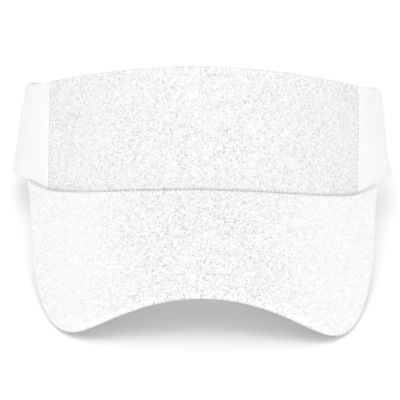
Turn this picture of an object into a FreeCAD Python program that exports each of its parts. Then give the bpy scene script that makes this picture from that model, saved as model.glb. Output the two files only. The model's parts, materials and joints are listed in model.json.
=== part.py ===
"""Sun visor: an open-topped headband with a stiffened front panel, two side panels, a padded
sweatband, a curved three-layer brim and an overlapping hook-and-loop strap at the back.

Everything is drawn in the band frame, in millimetres: the origin is the middle of the head
opening at the height of the brim seam's centre, +Z runs up along the head, -Y points to the
front. The finished pieces are then tipped back onto a table, resting on the two brim tips and
the rear of the band, with the origin on the table under the middle of the bounding box.
"""

import FreeCAD
import Part
import math
import os

# ---- band, seen from above -------------------------------------------------
HALF_WIDTH = 98.0          # outside half-width at the widest point
FRONT_REACH = 99.0         # from the widest point forward to the front centre
REAR_REACH = 80.0          # from the widest point back to the flat closure zone
FLAT_HALF = 40.0           # half-width of the flat closure zone
LEAN_FRONT, LEAN_SIDE, LEAN_REAR = 12.0, 9.0, 3.0    # degrees, inwards going up

# ---- band heights, above or below the brim seam's centre -------------------
FRONT_TOP = 58.2
TOP_FALL = (41.9, -17.2)   # drop of the top edge against 1 - cos(t), linear and squared
SIDE_BOTTOM = -10.5
REAR_TOP, REAR_BOTTOM = 17.0, -9.0

# ---- seams and hinges, as degrees round the front quarter from the centre --
SIDE_SEAM_X = 77.0         # the front panel meets the side panels in these two planes
BRIM_END = 62.6
HINGE_AT = 67.0
HINGE_GAP = 2.8            # clear slit in the rigid pieces at each side hinge
HINGE_DEPTH = 1.5          # of that hinge's line inside the band's outer surface
SEAM_SHARE = 0.001         # of a quarter, kept clear either side of a side seam

# ---- brim ------------------------------------------------------------------
BRIM_SLOPE = 32.0          # degrees below the band's plane at the centre line
ARCH_RADIUS = 121.0        # of the arch across the brim at the seam's centre
ARCH_TIGHTEN = 0.25        # how much that radius shrinks per millimetre forward
BRIM_LENGTH = 68.0
# Outline of the right half, across and forward from the seam's centre: control points of a
# cubic B-spline that starts at the seam's end and finishes square on the centre line.
BRIM_OUTLINE = [(83.5, -10.0), (85.0, 7.5), (67.0, 91.0), (35.0, BRIM_LENGTH), (0.0, BRIM_LENGTH)]
CORNER_SHARE = 0.56        # share of that outline which counts as the brim's side edge
BOARD_INSET = 2.2

# ---- layer depths, inwards from the band's outer surface (outer, inner) -----
SHELL = (0.0, 0.9)
STIFFENER = (1.05, 1.85)
LINING = (2.0, 2.5)
TAPE = (2.65, 3.05)
FOAM = (2.65, 4.35)
SWEAT_COVER = (4.5, 5.1)
LABEL = (5.25, 5.5)
SWEAT_HEIGHT = 32.0
SWEAT_LIFT = 1.0           # the sweatband's lower edge, above the band's lower edge
SWEAT_END_SHARE = 0.09     # of a quarter, by which the sweatband stops short of the panel's end
EDGE_ALLOWANCE = 2.5       # hidden layers stop this far below the top edge
SWEAT_ALLOWANCE = 1.0      # the sweatband stops at least this far below the other hidden layers
TAPE_WIDTH = 12.0
TAPE_HEIGHT = 25.0         # the seam tape is centred on the side seam at this height
TAPE_LIFT = 0.4            # of the tape's lower end above the sweatband
LABEL_SIZE = (34.0, 18.0)
LABEL_LIFT = 6.0           # of the label above the sweatband's lower edge

# ---- brim layers, upwards from the board's middle --------------------------
BOARD = (-0.8, 0.8)
TOP_COVER = (1.1, 1.9)
UNDER_COVER = (-1.9, -1.1)
BAND_CLEARANCE = 0.6       # between the brim's inner edge and the band's lower edge

# ---- closure ---------------------------------------------------------------
STRAP_BOTTOM, STRAP_TOP = -8.0, 15.5
STRAP_ROOT = 40.0          # the straps start here, either side of the middle
PANEL_END = 44.0           # the side panels stop here
LOOP_STRAP = (75.9, 77.5)  # y range of each layer
LOOP_PATCH = (77.6, 78.8)
HOOK_PATCH = (79.1, 80.3)
HOOK_STRAP = (80.4, 82.0)
LOOP_STRAP_TIP = 22.0
HOOK_TAB_TIP = -30.0
TAB_FOLD = 10.0            # where the hook tab folds away from its strap
TAB_FOLD_GAP = 0.3
TAB_FOLD_OUT = 0.1         # of that fold's line outside the tab
STRAP_HINGE_DEPTH = 1.0    # of the straps' bending line inside the closure zone's outer surface
PATCH_INSET = 2.0
PATCH_START = 8.0          # of the loop patch from its strap's root
TIP_ROUND = 5.0

# ---- how finely the curved pieces are drawn: columns along them, rows up them
FRONT_GRID = (25, 7)
FRONT_SWEAT_GRID = (27, 6)
STRIP_GRID = (5, 6)        # the side panels' short strips ahead of the hinges
SIDE_GRID = (21, 5)
SIDE_SWEAT_GRID = (21, 4)
TAPE_GRID = (4, 4)
LABEL_GRID = (5, 4)
BRIM_GRID = (25, 11)
RIM_SAMPLES = 48           # points tried along an edge when the visor is set down
ROUNDS = 40                # of every search that closes in on its answer by halves


def vec(x, y, z):
    return FreeCAD.Vector(x, y, z)


def blend(a, b, share):
    return a + (b - a) * share


# ---------------------------------------------------------------- band surface
def plan(q):
    """Point and outward normal in plan, right half. q runs 0 to 1 over the front quarter and
    1 to 2 over the rear quarter; past 2 it continues along the flat closure zone."""
    if q <= 1.0:
        t = q * math.pi / 2
        point = (HALF_WIDTH * math.sin(t), -FRONT_REACH * math.cos(t))
        normal = (math.sin(t) / HALF_WIDTH, -math.cos(t) / FRONT_REACH)
    elif q <= 2.0:
        t = (q - 1.0) * math.pi / 2
        across = HALF_WIDTH - FLAT_HALF
        point = (FLAT_HALF + across * math.cos(t), REAR_REACH * math.sin(t))
        normal = (math.cos(t) / across, math.sin(t) / REAR_REACH)
    else:
        point, normal = (FLAT_HALF * (3.0 - q), REAR_REACH), (0.0, 1.0)
    size = math.hypot(*normal)
    return point, (normal[0] / size, normal[1] / size)


def lean(q):
    if q <= 1.0:
        return blend(LEAN_SIDE, LEAN_FRONT, math.cos(q * math.pi / 2) ** 2)
    return blend(LEAN_SIDE, LEAN_REAR, min(q - 1.0, 1.0) ** 2)


def band(q, z, depth=0.0):
    """A point of the band's outer surface, or depth inside it. Negative q is the left half."""
    (x, y), (nx, ny) = plan(abs(q))
    inward = z * math.tan(math.radians(lean(abs(q)))) + depth
    side = -1.0 if q < 0 else 1.0
    return vec(side * (x - nx * inward), y - ny * inward, z)


# ---------------------------------------------------------------- brim surface
def droop(x, s):
    """How far the arch has fallen at x across, s forward."""
    radius = ARCH_RADIUS - ARCH_TIGHTEN * s
    return radius - math.sqrt(radius * radius - x * x)


def brim(x, s, lift=0.0):
    """A point of the brim's middle surface, or lift above it along the surface normal."""
    slope = math.radians(BRIM_SLOPE)
    forward = vec(0, -math.cos(slope), -math.sin(slope))
    up = vec(0, -math.sin(slope), math.cos(slope))
    point = vec(x, -FRONT_REACH, 0) + forward * s - up * droop(x, s)
    if lift == 0.0:
        return point
    step = 0.5
    along = brim(x, s + step) - brim(x, s - step)
    across = brim(x + step, s) - brim(x - step, s)
    normal = along.cross(across)
    normal.normalize()
    if normal.z < 0:
        normal = normal * -1.0
    return point + normal * lift


def brim_at(x, y):
    """Forward distance s and height z of the brim's middle surface over a plan point."""
    slope = math.radians(BRIM_SLOPE)
    s = 0.0
    for _ in range(ROUNDS):
        s = 0.5 * s + 0.5 * (-FRONT_REACH - y + droop(x, s) * math.sin(slope)) / math.cos(slope)
    return s, -s * math.sin(slope) - droop(x, s) * math.cos(slope)


def seam_height(q):
    """Height of the band's lower edge where the brim is sewn to it."""
    z = 0.0
    for _ in range(ROUNDS):
        point = band(q, z)
        z = 0.5 * z + 0.5 * brim_at(point.x, point.y)[1]
    return z


BRIM_END_Q = BRIM_END / 90.0
BRIM_END_Z = seam_height(BRIM_END_Q)


def bottom(q):
    q = abs(q)
    if q <= BRIM_END_Q:
        return seam_height(q)
    if q <= 1.0:
        share = (q - BRIM_END_Q) / (1.0 - BRIM_END_Q)
        return blend(BRIM_END_Z, SIDE_BOTTOM, math.sin(share * math.pi / 2))
    share = min(q - 1.0, 1.0)
    return blend(SIDE_BOTTOM, REAR_BOTTOM, (1 - math.cos(share * math.pi)) / 2)


def top(q):
    q = abs(q)
    if q <= 1.0:
        c = 1.0 - math.cos(q * math.pi / 2)
        return FRONT_TOP - TOP_FALL[0] * c - TOP_FALL[1] * c * c
    # a cubic that leaves the side at the front quarter's slope and arrives level at the rear
    r = min(q - 1.0, 1.0)
    start = FRONT_TOP - TOP_FALL[0] - TOP_FALL[1]
    slope = -(TOP_FALL[0] + 2 * TOP_FALL[1]) * math.pi / 2
    cubic = slope - 2 * (REAR_TOP - start)
    square = REAR_TOP - start - slope - cubic
    return start + slope * r + square * r * r + cubic * r ** 3


def side_seam_q(z):
    """Where the side seam's plane cuts the band at height z."""
    low, high = 0.3, 0.9
    for _ in range(ROUNDS):
        middle = (low + high) / 2
        if band(middle, z).x < SIDE_SEAM_X:
            low = middle
        else:
            high = middle
    return low


# ---------------------------------------------------------------- solids
def spline_surface(rows):
    surface = Part.BSplineSurface()
    surface.interpolate(rows)
    return surface


def slab(outer, inner):
    """A closed solid between two grids of points: two spline faces and four ruled sides."""
    a, b = spline_surface(outer), spline_surface(inner)
    u0, u1, v0, v1 = a.bounds()
    faces = [a.toShape(), b.toShape()]
    pairs = [(a.uIso(u0), b.uIso(u0)), (a.uIso(u1), b.uIso(u1)),
             (a.vIso(v0), b.vIso(v0)), (a.vIso(v1), b.vIso(v1))]
    faces += [Part.makeRuledSurface(p.toShape(), r.toShape()) for p, r in pairs]
    shell = Part.makeShell(faces)
    shell.sewShape()
    solid = Part.makeSolid(Part.Shell(shell.Faces))
    if solid.Volume < 0:
        solid.reverse()
    return solid


def band_slab(q_range, low, high, layer, counts):
    """A piece of the band's shell. q_range gives two ends, each a number or a function of z."""
    columns, rows = counts

    def grid(depth):
        made = []
        for i in range(columns):
            share = i / (columns - 1)
            line = []
            for j in range(rows):
                up = j / (rows - 1)
                ends = []
                for end in q_range:
                    q = end(0.0) if callable(end) else end
                    z = blend(low(q), high(q), up)
                    ends.append(end(z) if callable(end) else end)
                q = blend(ends[0], ends[1], share)
                line.append(band(q, blend(low(q), high(q), up), depth))
            made.append(line)
        return made
    return slab(grid(layer[0]), grid(layer[1]))


def mirrored(shape):
    return shape.mirror(vec(0, 0, 0), vec(1, 0, 0))


def bspline_point(points, u):
    """A clamped cubic B-spline through its control points' hull, by de Boor's rule."""
    spans = len(points) - 3
    knots = [0.0] * 3 + [i / spans for i in range(spans + 1)] + [1.0] * 3
    u = min(max(u, 0.0), 1.0 - 1e-9)
    k = 3 + int(u * spans)
    work = [points[k - 3 + j] for j in range(4)]
    for level in range(1, 4):
        for j in range(3, level - 1, -1):
            i = k - 3 + j
            share = (u - knots[i]) / (knots[i + 4 - level] - knots[i])
            work[j] = tuple(blend(work[j - 1][m], work[j][m], share) for m in range(2))
    return work[3]


END_POINT = band(BRIM_END_Q, BRIM_END_Z)
END_XS = (END_POINT.x, brim_at(END_POINT.x, END_POINT.y)[0])
HALF_OUTLINE = [END_XS] + BRIM_OUTLINE


def outline_side(v):
    return bspline_point(HALF_OUTLINE, v * CORNER_SHARE)


def outline_front(u):
    """u from 0 at the left corner to 1 at the right."""
    share = abs(2 * u - 1)
    x, s = bspline_point(HALF_OUTLINE, blend(1.0, CORNER_SHARE, share))
    return (x if u > 0.5 else -x, s)


def seam_xs(u):
    q = (2 * u - 1) * BRIM_END_Q
    point = band(q, bottom(q))
    return point.x, brim_at(point.x, point.y)[0]


def brim_xs(u, v, inset=0.0):
    """Across and forward position in the brim: u across, v from the seam to the outer edge.
    inset draws the outer edges in by that much, and starts the piece as far clear of the seam."""
    (ix, is_), (ox, os_) = seam_xs(u), outline_front(u)
    sx, ss = outline_side(v)
    c0, c1 = outline_side(0.0), outline_side(1.0)
    x = blend(ix, ox, v) + blend(-sx, sx, u) - blend(-c0[0], c0[0], u) * (1 - v) - blend(-c1[0], c1[0], u) * v
    s = blend(is_, os_, v) + ss - blend(c0[1], c1[1], v)
    return x * (1 - inset * math.sqrt(v) / HALF_WIDTH), s + blend(BAND_CLEARANCE + inset, -inset, v)


def brim_slab(layer, inset=0.0):
    columns, rows = BRIM_GRID

    def grid(lift):
        return [[brim(*brim_xs(i / (columns - 1), j / (rows - 1), inset), lift)
                 for j in range(rows)] for i in range(columns)]
    return slab(grid(layer[1]), grid(layer[0]))


def strap_plate(x0, x1, y_range, inset=0.0, round_at=None):
    """A flat upright plate across the closure zone, with its free end's corners rounded."""
    low, high = min(x0, x1) + inset, max(x0, x1) - inset
    plate = Part.makeBox(high - low, y_range[1] - y_range[0], STRAP_TOP - STRAP_BOTTOM - 2 * inset,
                         vec(low, y_range[0], STRAP_BOTTOM + inset))
    if round_at is None:
        return plate
    end = low if round_at < (low + high) / 2 else high
    edges = [e for e in plate.Edges
             if abs(e.BoundBox.YLength - (y_range[1] - y_range[0])) < 1e-3
             and abs(e.CenterOfMass.x - end) < 1e-3]
    return plate.makeFillet(TIP_ROUND, edges)


# ---------------------------------------------------------------- the pieces
def hidden_top(q):
    return top(q) - EDGE_ALLOWANCE


def sweat_low(q):
    return bottom(q) + SWEAT_LIFT


def sweat_high(q):
    return min(sweat_low(q) + SWEAT_HEIGHT, hidden_top(q) - SWEAT_ALLOWANCE)


def label_low(q):
    return sweat_low(q) + LABEL_LIFT


def label_high(q):
    return label_low(q) + LABEL_SIZE[1]


def tape_low(q):
    return sweat_high(q) + TAPE_LIFT


def front_seam_right(z):
    return side_seam_q(z) - SEAM_SHARE


def front_seam_left(z):
    return -front_seam_right(z)


def side_seam_right(z):
    return side_seam_q(z) + SEAM_SHARE


def share_of_quarter(length):
    """A length along the band as a share of its front quarter."""
    return length / (math.pi / 2 * HALF_WIDTH)


def gap_q(offset):
    """The quarter position that lies offset millimetres past the side hinge."""
    return HINGE_AT / 90.0 + share_of_quarter(offset)


def panel_end_q():
    return 1.0 + math.acos((PANEL_END - FLAT_HALF) / (HALF_WIDTH - FLAT_HALF)) / (math.pi / 2)


def front_pieces():
    seams = (front_seam_left, front_seam_right)
    made = {
        "front_panel": band_slab(seams, bottom, top, SHELL, FRONT_GRID),
        "front_stiffener": band_slab(seams, sweat_low, hidden_top, STIFFENER, FRONT_GRID),
        "front_lining": band_slab(seams, sweat_low, hidden_top, LINING, FRONT_GRID),
    }
    ahead = gap_q(-HINGE_GAP / 2)
    for name, layer in (("sweatband_cover_front", SWEAT_COVER), ("sweatband_foam_front", FOAM)):
        made[name] = band_slab((-ahead, ahead), sweat_low, sweat_high, layer, FRONT_SWEAT_GRID)
    panel = band_slab((side_seam_right, ahead), bottom, top, SHELL, STRIP_GRID)
    lining = band_slab((side_seam_right, ahead), sweat_low, hidden_top, LINING, STRIP_GRID)
    half = share_of_quarter(TAPE_WIDTH / 2)
    middle = side_seam_q(TAPE_HEIGHT)
    tape = band_slab((middle - half, middle + half), tape_low, hidden_top, TAPE, TAPE_GRID)
    for side, turn in (("right", lambda shape: shape), ("left", mirrored)):
        made[side + "_panel_front"] = turn(panel)
        made[side + "_lining_front"] = turn(lining)
        made[side + "_seam_tape"] = turn(tape)
    width = share_of_quarter(LABEL_SIZE[0] / 2)
    made["care_label"] = band_slab((-width, width), label_low, label_high, LABEL, LABEL_GRID)
    return made


def brim_pieces():
    return {
        "brim_board": brim_slab(BOARD, BOARD_INSET),
        "brim_top_cover": brim_slab(TOP_COVER),
        "brim_under_cover": brim_slab(UNDER_COVER),
    }


def arm_pieces():
    ends = (gap_q(HINGE_GAP / 2), panel_end_q())
    sweat_ends = (ends[0], ends[1] - SWEAT_END_SHARE)
    solids = {
        "side_panel": band_slab(ends, bottom, top, SHELL, SIDE_GRID),
        "side_lining": band_slab(ends, sweat_low, hidden_top, LINING, SIDE_GRID),
        "sweatband_foam": band_slab(sweat_ends, sweat_low, sweat_high, FOAM, SIDE_SWEAT_GRID),
        "sweatband_cover": band_slab(sweat_ends, sweat_low, sweat_high, SWEAT_COVER,
                                     SIDE_SWEAT_GRID),
    }
    made = {}
    for name, solid in solids.items():
        made["right_" + name] = solid
        made["left_" + name] = mirrored(solid)
    return made


def closure_pieces():
    tab_root = TAB_FOLD - TAB_FOLD_GAP
    return {
        "loop_strap": strap_plate(-STRAP_ROOT, LOOP_STRAP_TIP, LOOP_STRAP, 0.0, LOOP_STRAP_TIP),
        "loop_patch": strap_plate(PATCH_START - STRAP_ROOT, LOOP_STRAP_TIP, LOOP_PATCH, PATCH_INSET),
        "hook_strap": strap_plate(TAB_FOLD + TAB_FOLD_GAP, STRAP_ROOT, HOOK_STRAP),
        "hook_tab": strap_plate(HOOK_TAB_TIP, tab_root, HOOK_STRAP, 0.0, HOOK_TAB_TIP),
        "hook_patch": strap_plate(HOOK_TAB_TIP, tab_root, HOOK_PATCH, PATCH_INSET),
    }


# ---------------------------------------------------------------- resting place
def rest_tilt():
    """The tip-back, in degrees, that puts the brim tips and the rear edge on one table."""
    shares = [i / RIM_SAMPLES for i in range(RIM_SAMPLES + 1)]
    rim = [brim(*brim_xs(share, 1.0), UNDER_COVER[0]) for share in shares]
    rim += [brim(*brim_xs(1.0, share), UNDER_COVER[0]) for share in shares]
    rear = [band(1.0 + share, bottom(1.0 + share)) for share in shares]

    def lowest(points, tilt):
        c, s = math.cos(math.radians(tilt)), math.sin(math.radians(tilt))
        return min(p.z * c - p.y * s for p in points)
    low, high = 0.0, 30.0
    for _ in range(ROUNDS):
        middle = (low + high) / 2
        if lowest(rim, middle) < lowest(rear, middle):
            low = middle
        else:
            high = middle
    return low


def main():
    pieces = {**front_pieces(), **brim_pieces(), **arm_pieces(), **closure_pieces()}
    tilt = rest_tilt()
    turn = FreeCAD.Placement(vec(0, 0, 0), FreeCAD.Rotation(vec(1, 0, 0), -tilt))
    for solid in pieces.values():
        solid.Placement = turn.multiply(solid.Placement)
    box = FreeCAD.BoundBox()
    for solid in pieces.values():
        box.add(solid.optimalBoundingBox(False, False))
    shift = vec(0, -(box.YMin + box.YMax) / 2, -box.ZMin)
    os.makedirs("parts", exist_ok=True)
    for name, solid in sorted(pieces.items()):
        solid.Placement = FreeCAD.Placement(shift, FreeCAD.Rotation()).multiply(solid.Placement)
        if not solid.isValid():
            print("not valid:", name)
        solid.exportStep(os.path.join("parts", name + ".step"))
    place = FreeCAD.Placement(shift, turn.Rotation)
    hinge = plan(HINGE_AT / 90.0)[0]
    marks = {
        "head_opening": vec(0, 0, 0),
        "arm_hinge_right": vec(hinge[0] - HINGE_DEPTH, hinge[1], 0),
        "strap_hinge_right": vec((STRAP_ROOT + PANEL_END) / 2, REAR_REACH - STRAP_HINGE_DEPTH, 0),
        "tab_fold": vec(TAB_FOLD, HOOK_STRAP[1] + TAB_FOLD_OUT, (STRAP_BOTTOM + STRAP_TOP) / 2),
        "seam_centre": vec(0, -FRONT_REACH, 0),
    }
    print("tilt", round(tilt, 4), "box", box)
    print("band axis", place.Rotation.multVec(vec(0, 0, 1)))
    for name, point in marks.items():
        print(name, place.multVec(point))
    print("volumes", {n: round(s.Volume) for n, s in sorted(pieces.items())})


main()
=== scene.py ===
"""Sun visor: cloth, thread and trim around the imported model, in the same frame.

Lengths in this script are millimetres in the band's own frame, as the model's source has them:
the origin is the middle of the head opening level with the brim seam's centre, +Z runs up along
the head and -Y points to the front. to_row() turns them into the row frame, in metres.
Along the band, "run" is the distance from the front centre, measured round the outer cloth,
positive on +X's side. "depth" is the distance inwards from the outer cloth.
"""

import json
import math

import bpy
import numpy as np
from mathutils import Matrix, Vector


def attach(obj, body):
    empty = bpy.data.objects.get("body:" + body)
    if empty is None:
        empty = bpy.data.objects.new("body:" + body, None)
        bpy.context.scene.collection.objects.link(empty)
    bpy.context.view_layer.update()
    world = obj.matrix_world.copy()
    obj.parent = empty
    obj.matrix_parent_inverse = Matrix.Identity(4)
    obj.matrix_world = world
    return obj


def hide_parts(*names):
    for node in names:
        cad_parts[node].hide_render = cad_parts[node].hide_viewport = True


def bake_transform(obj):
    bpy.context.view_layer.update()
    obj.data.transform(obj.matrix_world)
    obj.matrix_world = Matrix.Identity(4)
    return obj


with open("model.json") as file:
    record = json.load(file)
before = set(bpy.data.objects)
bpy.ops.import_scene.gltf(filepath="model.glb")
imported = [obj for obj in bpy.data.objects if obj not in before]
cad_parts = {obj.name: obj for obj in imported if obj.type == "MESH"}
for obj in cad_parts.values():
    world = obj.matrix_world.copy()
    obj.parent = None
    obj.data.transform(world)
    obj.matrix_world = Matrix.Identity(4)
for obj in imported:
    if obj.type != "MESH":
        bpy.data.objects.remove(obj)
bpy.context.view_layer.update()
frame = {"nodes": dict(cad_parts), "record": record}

# ---- the band and brim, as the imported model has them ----
HALF_WIDTH, FRONT_REACH, REAR_REACH, FLAT_HALF = 98.0, 99.0, 80.0, 40.0
LEAN_FRONT, LEAN_SIDE, LEAN_REAR = 12.0, 9.0, 3.0      # degrees
FRONT_TOP, TOP_FALL, TOP_FALL_SQUARED = 58.2, 41.9, -17.2
SIDE_BOTTOM, REAR_TOP, REAR_BOTTOM = -10.5, 17.0, -9.0
SIDE_SEAM_X = 77.0
QUARTER, BRIM_END, HINGE_AT = 90.0, 62.6, 67.0         # degrees round from the front
BRIM_SLOPE, ARCH_RADIUS, ARCH_TIGHTEN, BRIM_LENGTH = 32.0, 121.0, 0.25, 68.0
BRIM_OUTLINE = [(83.5, -10.0), (85.0, 7.5), (67.0, 91.0), (35.0, BRIM_LENGTH), (0.0, BRIM_LENGTH)]
PLAN_ROUNDS, SEAM_ROUNDS = 40, 30                      # of the fixed-point searches

# ---- cloth ----
CLOTH = 0.6                # thickness of the outer cloths
HEM_FOLD = 3.0             # thickness of the turned top edge
HEM_TURN = 7.0             # how far the outer cloth runs down inside
SEAM_ROLL = 0.9            # radius of a cloth's edge where it dips into a seam
SEAM_GAP = 0.08            # from a panel's edge to its seam's middle
LINING_DEPTH, LINING_THICK = 1.95, 0.35
SWEAT_BACK, SWEAT_FACE = 2.7, 5.05
SWEAT_HEIGHT, SWEAT_LIFT = 32.0, 1.0
BRIM_HALF = 1.85           # half the covered brim's thickness
STRAP_LOW, STRAP_HIGH = -8.0, 15.5
LOOP_STRAP, HOOK_STRAP = (2.55, 4.05), (-1.95, -0.45)    # depths
TAB_FOLD, HOOK_TIP, LOOP_TIP = 10.0, -30.0, 22.0
PANEL_END_X, STRAP_START_X = 44.0, 53.0

# ---- camera, relative to the band ----
CAMERA_ABOVE, CAMERA_ROUND, CAMERA_ROLL = 12.0, -0.7, 1.0
CAMERA_DISTANCE, CAMERA_LENS = 1000.0, 174.15
CAMERA_TARGET = (0.0, -20.0, 0.0)
CAMERA_OFFSET = (-1.0, -22.2)

MM_PER_M = 1000.0
SIDES = (("right", 1.0), ("left", -1.0))
MOUNT = next(m for m in frame["record"]["mounts"] if m["name"] == "head_opening")
ORIGIN = np.array(MOUNT["pos_m"])
UP = -np.array(MOUNT["axis"])
REARWARD = np.array([0.0, UP[2], -UP[1]])


def to_row(points):
    """Band-frame millimetres to row-frame metres; points is any array of (x, y, z)."""
    p = np.asarray(points, float) / MM_PER_M
    return ORIGIN + p[..., :1] * [1.0, 0.0, 0.0] + p[..., 1:2] * REARWARD + p[..., 2:] * UP


# ---- band and brim surfaces ----
def plan(q):
    """Point and outward normal in plan. q is 0 at the front, 1 at the side, 2 at the flat zone."""
    t = np.where(q <= 1, q, q - 1) * math.pi / 2
    across = HALF_WIDTH - FLAT_HALF
    fx, fy = HALF_WIDTH * np.sin(t), -FRONT_REACH * np.cos(t)
    rx, ry = FLAT_HALF + across * np.cos(t), REAR_REACH * np.sin(t)
    x = np.where(q <= 1, fx, np.where(q <= 2, rx, FLAT_HALF * (3 - q)))
    y = np.where(q <= 1, fy, np.where(q <= 2, ry, REAR_REACH))
    nx = np.where(q <= 1, np.sin(t) / HALF_WIDTH, np.where(q <= 2, np.cos(t) / across, 0))
    ny = np.where(q <= 1, -np.cos(t) / FRONT_REACH, np.where(q <= 2, np.sin(t) / REAR_REACH, 1))
    size = np.hypot(nx, ny)
    return x, y, nx / size, ny / size


def lean(q):
    front = LEAN_SIDE + (LEAN_FRONT - LEAN_SIDE) * np.cos(np.minimum(q, 1) * math.pi / 2) ** 2
    rear = LEAN_SIDE + (LEAN_REAR - LEAN_SIDE) * np.clip(q - 1, 0, 1) ** 2
    return np.radians(np.where(q <= 1, front, rear))


Q_TABLE = np.linspace(0, 3, 3001)
RUN_TABLE = np.concatenate([[0], np.cumsum(np.hypot(*np.diff(plan(Q_TABLE)[:2], axis=1)))])
REAR = Q_TABLE >= 1


def q_at(run):
    return np.interp(np.abs(run), RUN_TABLE, Q_TABLE)


def run_at_x(x):
    """The run, on the rear quarter or flat zone, at that distance across."""
    return np.interp(-x, -plan(Q_TABLE[REAR])[0], RUN_TABLE[REAR])


def band(run, z, depth=0.0):
    q = q_at(run)
    x, y, nx, ny = plan(q)
    inward = z * np.tan(lean(q)) + depth
    side = np.where(run < 0, -1.0, 1.0)
    return np.stack(np.broadcast_arrays(side * (x - nx * inward), y - ny * inward, z), -1)


def droop(x, s):
    radius = ARCH_RADIUS - ARCH_TIGHTEN * s
    return radius - np.sqrt(radius ** 2 - x ** 2)


def brim(x, s, lift=0.0):
    """A point of the brim's middle surface, x across and s forward, or lift above it."""
    slope = math.radians(BRIM_SLOPE)
    forward = np.array([0, -math.cos(slope), -math.sin(slope)])
    up = np.array([0, -math.sin(slope), math.cos(slope)])

    def middle(x, s):
        side = np.stack([x, np.full_like(x, -FRONT_REACH), np.zeros_like(x)], -1)
        return side + s[..., None] * forward - droop(x, s)[..., None] * up

    x, s = np.broadcast_arrays(np.asarray(x, float), np.asarray(s, float))
    step = 0.25
    across = middle(x + step, s) - middle(x - step, s)
    ahead = middle(x, s + step) - middle(x, s - step)
    normal = np.cross(across, ahead)
    normal /= -np.linalg.norm(normal, axis=-1, keepdims=True)
    return middle(x, s) + normal * np.asarray(lift)[..., None]


def brim_under_plan(x, y):
    """Forward distance and height of the brim's middle surface at a point in plan."""
    slope = math.radians(BRIM_SLOPE)
    s = np.zeros_like(x)
    for _ in range(PLAN_ROUNDS):
        s = 0.5 * s + 0.5 * (-FRONT_REACH - y + droop(x, s) * math.sin(slope)) / math.cos(slope)
    return s, -s * math.sin(slope) - droop(x, s) * math.cos(slope)


def seam_height(q):
    z = np.zeros_like(q)
    for _ in range(SEAM_ROUNDS):
        x, y, nx, ny = plan(q)
        inward = z * np.tan(lean(q))
        z = 0.5 * z + 0.5 * brim_under_plan(x - nx * inward, y - ny * inward)[1]
    return z


END_Q = BRIM_END / QUARTER
END_RUN = np.interp(END_Q, Q_TABLE, RUN_TABLE)
SEAM_Q = np.linspace(0, END_Q, 121)
SEAM_Z = seam_height(SEAM_Q)


def bottom(run):
    """The band's lower edge: along the brim seam, then down to the side, then up to the rear."""
    q = q_at(run)
    past_seam = np.clip((q - END_Q) / (1 - END_Q), 0, 1)
    side = SEAM_Z[-1] + (SIDE_BOTTOM - SEAM_Z[-1]) * np.sin(past_seam * math.pi / 2)
    past_side = np.clip(q - 1, 0, 1)
    rear = SIDE_BOTTOM + (REAR_BOTTOM - SIDE_BOTTOM) * (1 - np.cos(past_side * math.pi)) / 2
    return np.where(q <= END_Q, np.interp(q, SEAM_Q, SEAM_Z), np.where(q <= 1, side, rear))


def top(run):
    """The band's upper edge: one curve over the front, and a cubic on to the rear."""
    q = q_at(run)
    c = 1 - np.cos(np.minimum(q, 1) * math.pi / 2)
    start = FRONT_TOP - TOP_FALL - TOP_FALL_SQUARED
    slope = -(TOP_FALL + 2 * TOP_FALL_SQUARED) * math.pi / 2
    cubic = slope - 2 * (REAR_TOP - start)
    square = REAR_TOP - start - slope - cubic
    r = np.clip(q - 1, 0, 1)
    rear = start + slope * r + square * r ** 2 + cubic * r ** 3
    return np.where(q <= 1, FRONT_TOP - TOP_FALL * c - TOP_FALL_SQUARED * c ** 2, rear)


def make_seam_table():
    """The run at which each side seam's plane cuts the band, against height."""
    heights = np.linspace(-15, 60, 76)      # past both edges, every millimetre
    runs = np.linspace(60, 130, 701)        # round both sides of the seam
    x = band(runs[None, :], heights[:, None])[..., 0]
    return heights, np.array([np.interp(SIDE_SEAM_X, row, runs) for row in x])


SEAM_TABLE = make_seam_table()


def side_seam(z):
    return np.interp(z, *SEAM_TABLE)


def outline_point(u):
    """The brim's outline from the seam's end, u=0, round to the centre line, u=1."""
    degree = 3
    points = np.array([SEAM_END_XS] + BRIM_OUTLINE)
    spans = len(points) - degree
    knots = [0.0] * degree + [i / spans for i in range(spans + 1)] + [1.0] * degree
    k = degree + min(int(u * spans), spans - 1)
    work = [points[k - degree + j] for j in range(degree + 1)]
    for level in range(1, degree + 1):
        for j in range(degree, level - 1, -1):
            i = k - degree + j
            share = (u - knots[i]) / (knots[i + degree + 1 - level] - knots[i])
            work[j] = work[j - 1] * (1 - share) + work[j] * share
    return work[degree]


END_BAND = band(END_RUN, SEAM_Z[-1])
SEAM_END_XS = (END_BAND[0], float(brim_under_plan(END_BAND[:1], END_BAND[1:2])[0][0]))


# ---- mesh making ----
SHARP_ANGLE = 55.0                 # degrees
RIPPLE_WAVES, RIPPLE_HEIGHT = 6, 2.5
SWELL_LENGTH, SWELL_FADE = 34.0, 6.0
FAR = 99.0                         # further than any edge's softening reaches


def steps(low, high, pitch):
    """Even steps from low to high, about pitch apart."""
    return np.linspace(low, high, max(2, int(abs(high - low) / pitch) + 1))


def ripple(u, v, size, seed):
    """A smooth, uneven wave of about unit height; size is its wavelength."""
    total = 0.0
    rng = np.random.default_rng(seed)
    for _ in range(RIPPLE_WAVES):
        angle, phase, scale = rng.uniform(0, math.pi), rng.uniform(0, 2 * math.pi), rng.uniform(0.7, 1.5)
        along = u * math.cos(angle) + v * math.sin(angle)
        total = total + np.sin(along * 2 * math.pi / (size * scale) + phase)
    return total / RIPPLE_HEIGHT


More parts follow.
